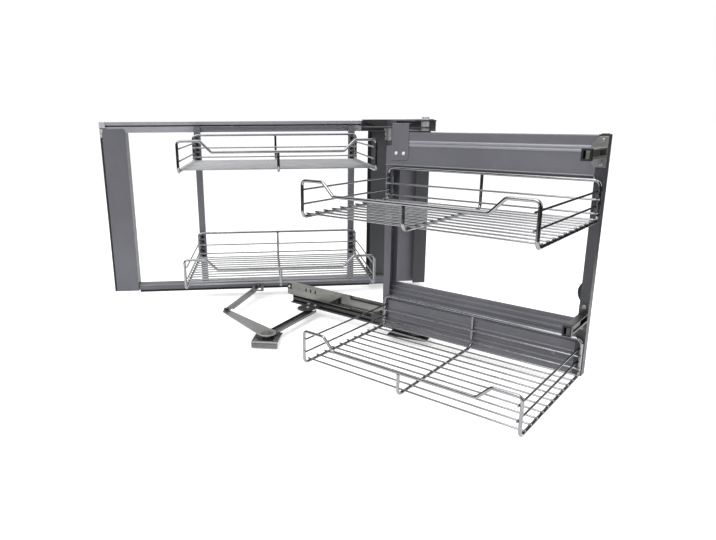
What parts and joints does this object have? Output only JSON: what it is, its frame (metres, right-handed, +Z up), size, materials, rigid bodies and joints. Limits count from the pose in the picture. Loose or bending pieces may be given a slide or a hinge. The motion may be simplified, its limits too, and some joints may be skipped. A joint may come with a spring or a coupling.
{
  "type": "blind corner pull out",
  "caption": "Corner cabinet pull-out: a wire basket carriage sliding on a fixed rear frame, and a basket frame on a telescopic slide that swings out of the door opening.",
  "frame": {"origin": "on the cabinet floor, under the middle of the rear frame's front face", "axes": "+X along the rear frame to the right, +Y to the cabinet's back, +Z up"},
  "size_m": [1.0988, 1.0237, 0.533],
  "materials": {
    "paint": "matte silver-grey powder coat",
    "dark_paint": "matte dark grey powder coat",
    "zinc": "zinc-plated steel",
    "chrome": "bright plated fasteners",
    "chrome_wire": "bright chromed wire",
    "black_plastic": "black moulded plastic",
    "nylon": "light grey nylon"
  },
  "bodies": {
    "rear_frame": {"left_upright": "paint", "right_column": "dark_paint", "column_panel": "paint", "top_rail": "paint", "rail_end_cap": "black_plastic", "rail_screws": "chrome", "bottom_rail": "paint", "bottom_glide": "black_plastic", "top_bracket": "dark_paint", "top_pivot_bolt": "chrome", "floor_base": "black_plastic", "floor_pivot_pin": "zinc", "crank_plate": "dark_paint", "crank_pin": "zinc"},
    "carriage": {"hangers": "paint", "hanger_glides": "black_plastic", "top_bar": "paint", "cross_bar": "paint", "guide_shoes": "nylon", "rear_upper_hoops": "chrome_wire", "rear_upper_rims": "chrome_wire", "rear_upper_wires": "chrome_wire", "rear_lower_hoops": "chrome_wire", "rear_lower_rims": "chrome_wire", "rear_lower_wires": "chrome_wire"},
    "swivel": {"swing_plate": "dark_paint", "slide_outer": "zinc", "slide_end_cap": "black_plastic", "link_bracket": "dark_paint", "link_rivets": "chrome"},
    "slide_mid": {"slide_middle": "zinc", "ball_cages": "black_plastic"},
    "front_frame": {"slide_inner": "zinc", "top_beam": "paint", "bottom_beam": "paint", "left_post": "paint", "right_post": "paint", "hook_tab": "paint", "basket_clips": "paint", "frame_screws": "chrome", "door_slide_rails": "zinc", "door_slide_caps": "black_plastic", "post_bumper": "black_plastic", "front_upper_hoops": "chrome_wire", "front_upper_rims": "chrome_wire", "front_upper_wires": "chrome_wire", "front_lower_hoops": "chrome_wire", "front_lower_rims": "chrome_wire", "front_lower_wires": "chrome_wire"},
    "top_arm": {"top_arm": "dark_paint", "roller_axle": "zinc"},
    "roller": {"guide_roller": "nylon"},
    "runner_upper": {"door_runner_upper": "zinc"},
    "runner_lower": {"door_runner_lower": "zinc"},
    "crank": {"crank_arm": "zinc", "channel_arm": "zinc"},
    "link": {"link_bar": "zinc", "link_pins": "zinc", "elbow_bush": "black_plastic"}
  },
  "joints": [
    {"name": "swing", "type": "hinge", "parent": "rear_frame", "child": "swivel", "pos_m": [0.34, -0.457, 0], "axis": [0, 0, 1], "range_deg": [-45, 0]},
    {"name": "pull_out", "type": "slide", "parent": "swivel", "child": "front_frame", "axis": [0.7009, -0.7133, 0], "range_m": [-0.015, 0]},
    {"name": "slide_extend", "type": "slide", "parent": "swivel", "child": "slide_mid", "axis": [0.7009, -0.7133, 0], "range_m": [-0.0076, 0]},
    {"name": "carriage_slide", "type": "slide", "parent": "rear_frame", "child": "carriage", "axis": [1, 0, 0], "range_m": [-0.2401, 0]},
    {"name": "arm_swing", "type": "hinge", "parent": "rear_frame", "child": "top_arm", "pos_m": [0.34, -0.457, 0], "axis": [0, 0, 1], "range_deg": [-45, 0]},
    {"name": "roller_spin", "type": "hinge", "parent": "top_arm", "child": "roller", "pos_m": [0.27692, -0.39281, 0.48], "axis": [0, 0, 1], "continuous": true},
    {"name": "crank_turn", "type": "hinge", "parent": "rear_frame", "child": "crank", "pos_m": [-0.027, -0.437, 0], "axis": [0, 0, 1], "range_deg": [0, 10.1]},
    {"name": "link_turn", "type": "hinge", "parent": "crank", "child": "link", "pos_m": [-0.1351, -0.264, 0], "axis": [0, 0, 1], "range_deg": [0, 43]},
    {"name": "door_slide_upper", "type": "slide", "parent": "front_frame", "child": "runner_upper", "axis": [0.7133, 0.7009, 0], "range_m": [-0.04, 0]},
    {"name": "door_slide_lower", "type": "slide", "parent": "front_frame", "child": "runner_lower", "axis": [0.7133, 0.7009, 0], "range_m": [-0.04, 0]}
  ],
  "couplings": [
    {"joint": "slide_extend", "follows": "pull_out", "ratio": 0.5},
    {"joint": "carriage_slide", "follows": "swing", "m_per_rad": 0.30558},
    {"joint": "arm_swing", "follows": "swing", "ratio": 1},
    {"joint": "crank_turn", "follows": "swing", "ratio": -0.22305},
    {"joint": "link_turn", "follows": "swing", "ratio": -0.95292},
    {"joint": "door_slide_lower", "follows": "door_slide_upper", "ratio": 1}
  ]
}
